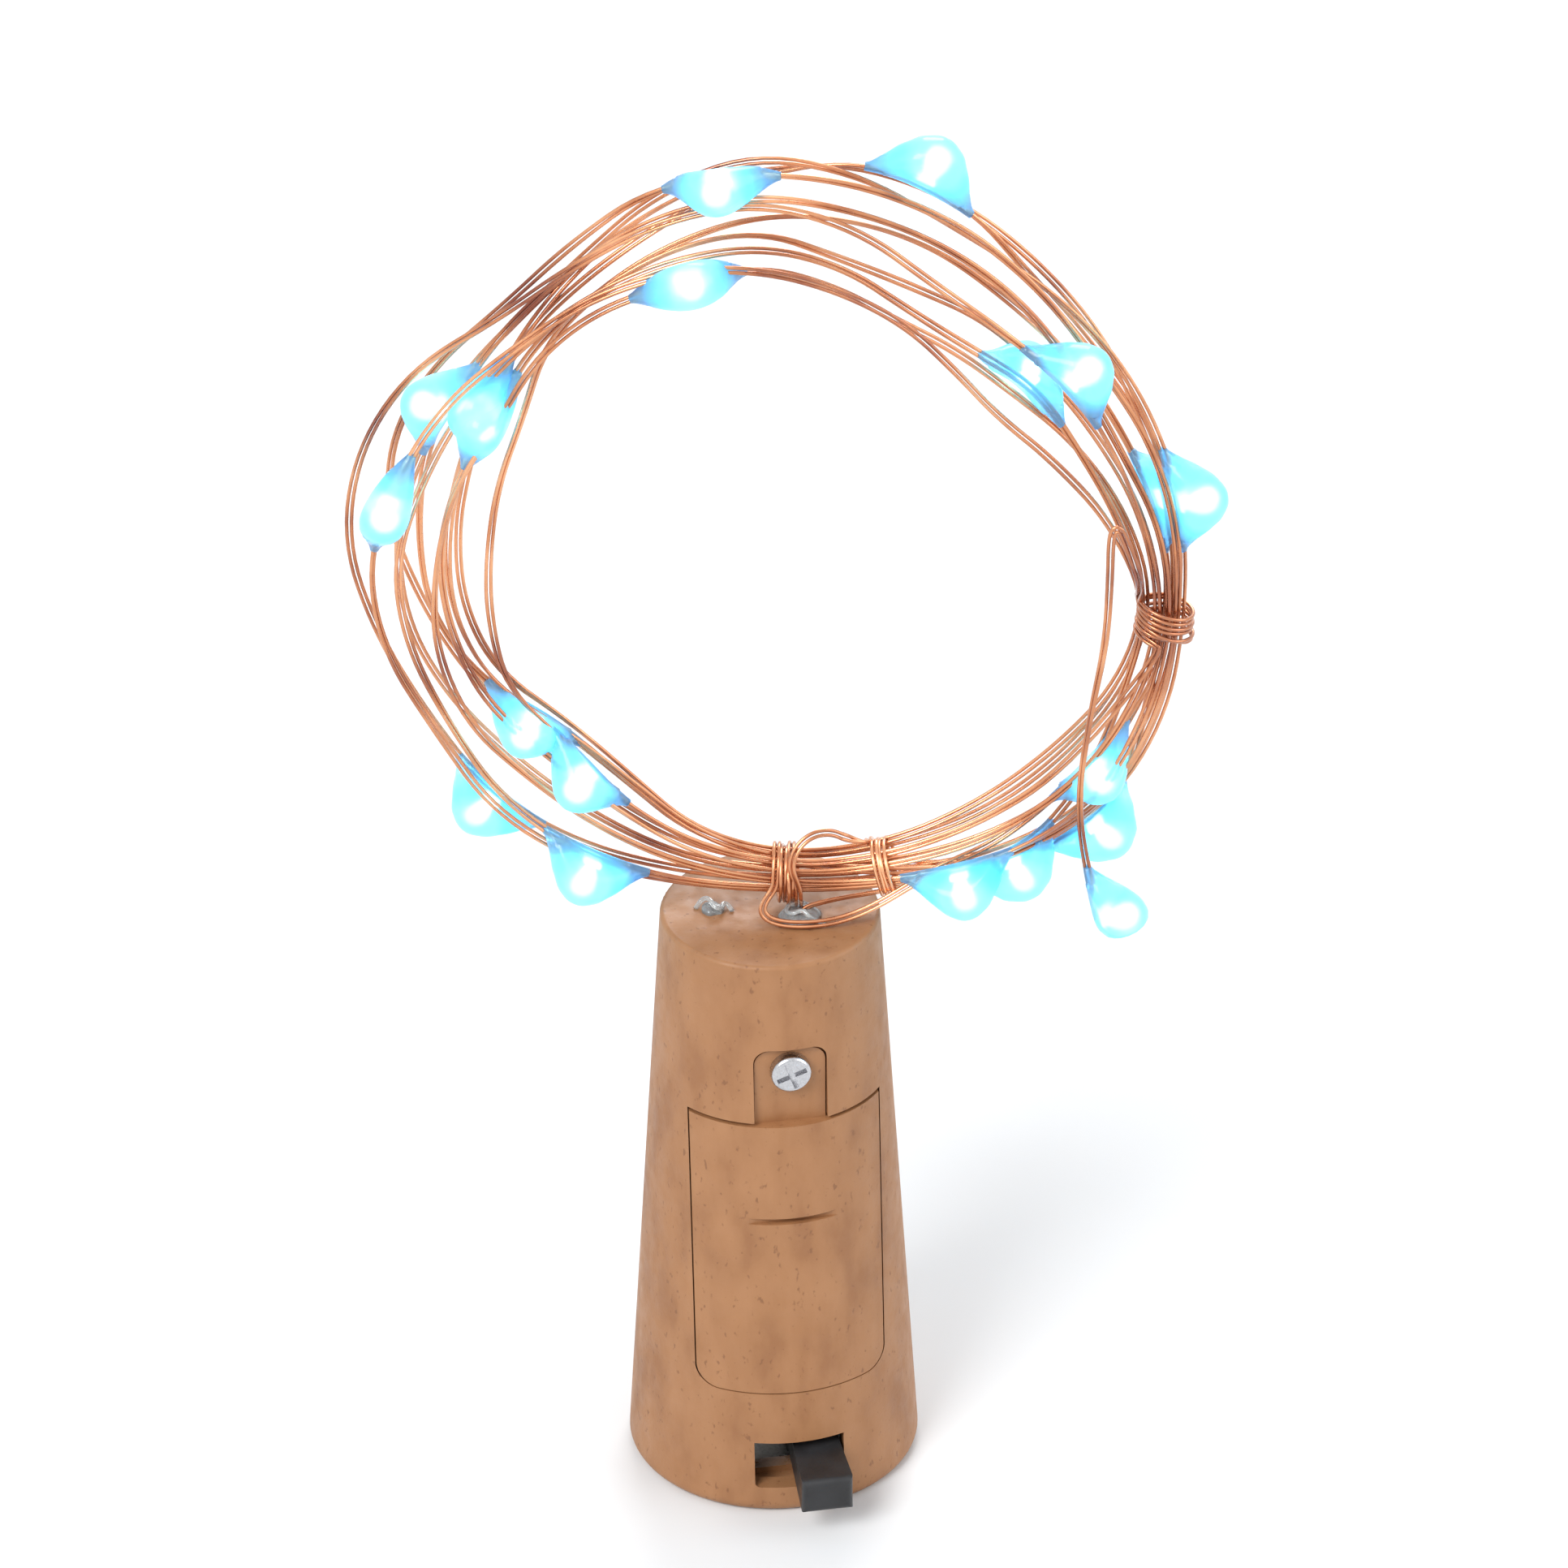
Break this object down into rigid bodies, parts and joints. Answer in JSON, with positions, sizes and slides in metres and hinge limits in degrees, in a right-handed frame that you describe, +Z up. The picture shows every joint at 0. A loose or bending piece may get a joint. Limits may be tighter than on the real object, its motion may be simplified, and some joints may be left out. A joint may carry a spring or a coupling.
{
  "type": "cork bottle light",
  "caption": "Stopper-shaped battery light for a bottle neck, with a side battery door, a slide switch and a coiled string of drop lights.",
  "frame": {"origin": "centre of the wide flat end, on which the light stands", "axes": "+Z up along the stopper's axis towards the string, -Y towards the battery door and the switch"},
  "size_m": [0.0641, 0.0256, 0.1112],
  "materials": {
    "cork_body": "cork-brown moulded plastic, fine grain",
    "screw_steel": "bright plated steel",
    "cradle_plastic": "white moulded plastic",
    "cell_steel": "nickel-plated steel",
    "spring_steel": "bright spring steel",
    "switch_metal": "plated steel sheet",
    "switch_black": "black moulded plastic",
    "sleeve_black": "shrink sleeve",
    "lead_red": "wire insulation",
    "lead_black": "wire insulation",
    "resistor_body": "lacquer",
    "clear_glue": "set hot glue, cloudy",
    "copper_string": "twin enamelled copper wire",
    "clear_drop": "clear resin",
    "led_chip": "lit chip"
  },
  "bodies": {
    "housing": {"housing_shell": "cork_body", "base_cap": "cork_body", "cell_cradle": "cradle_plastic", "spring_plate": "spring_steel", "contact_spring": "spring_steel", "top_contact": "spring_steel", "button_cell_1": "cell_steel", "button_cell_2": "cell_steel", "button_cell_3": "cell_steel", "switch_case": "switch_metal", "switch_terminals": "switch_metal", "switch_lead": "lead_red", "cell_lead": "lead_black", "limit_resistor": "resistor_body", "joint_sleeve": "sleeve_black", "exit_seal": "clear_glue", "glue_dab": "clear_glue", "string_lead": "copper_string", "string_lower_tie": "copper_string", "string_coil": "copper_string", "string_side_tie": "copper_string", "string_tail": "copper_string", "led_drop_01": "clear_drop", "led_drop_02": "clear_drop", "led_drop_03": "clear_drop", "led_drop_04": "clear_drop", "led_drop_05": "clear_drop", "led_drop_06": "clear_drop", "led_drop_07": "clear_drop", "led_drop_08": "clear_drop", "led_drop_09": "clear_drop", "led_drop_10": "clear_drop", "led_drop_11": "clear_drop", "led_drop_12": "clear_drop", "led_drop_13": "clear_drop", "led_drop_14": "clear_drop", "led_drop_15": "clear_drop", "led_drop_16": "clear_drop", "led_drop_17": "clear_drop", "led_drop_18": "clear_drop", "led_drop_19": "clear_drop", "led_drop_20": "clear_drop", "led_chips": "led_chip"},
    "lever": {"switch_lever": "switch_black"},
    "door": {"battery_door": "cork_body"},
    "screw": {"door_screw": "screw_steel"}
  },
  "joints": [
    {"name": "switch_slide", "type": "slide", "parent": "housing", "child": "lever", "axis": [-1, 0, 0], "range_m": [0, 0.0027]},
    {"name": "door_tilt", "type": "hinge", "parent": "housing", "child": "door", "pos_m": [0, -0.01035, 0.0105], "axis": [1, 0, 0], "range_deg": [0, 35]},
    {"name": "screw_back_out", "type": "slide", "parent": "door", "child": "screw", "axis": [0, -1, 0], "range_m": [0, 0.0032]}
  ]
}
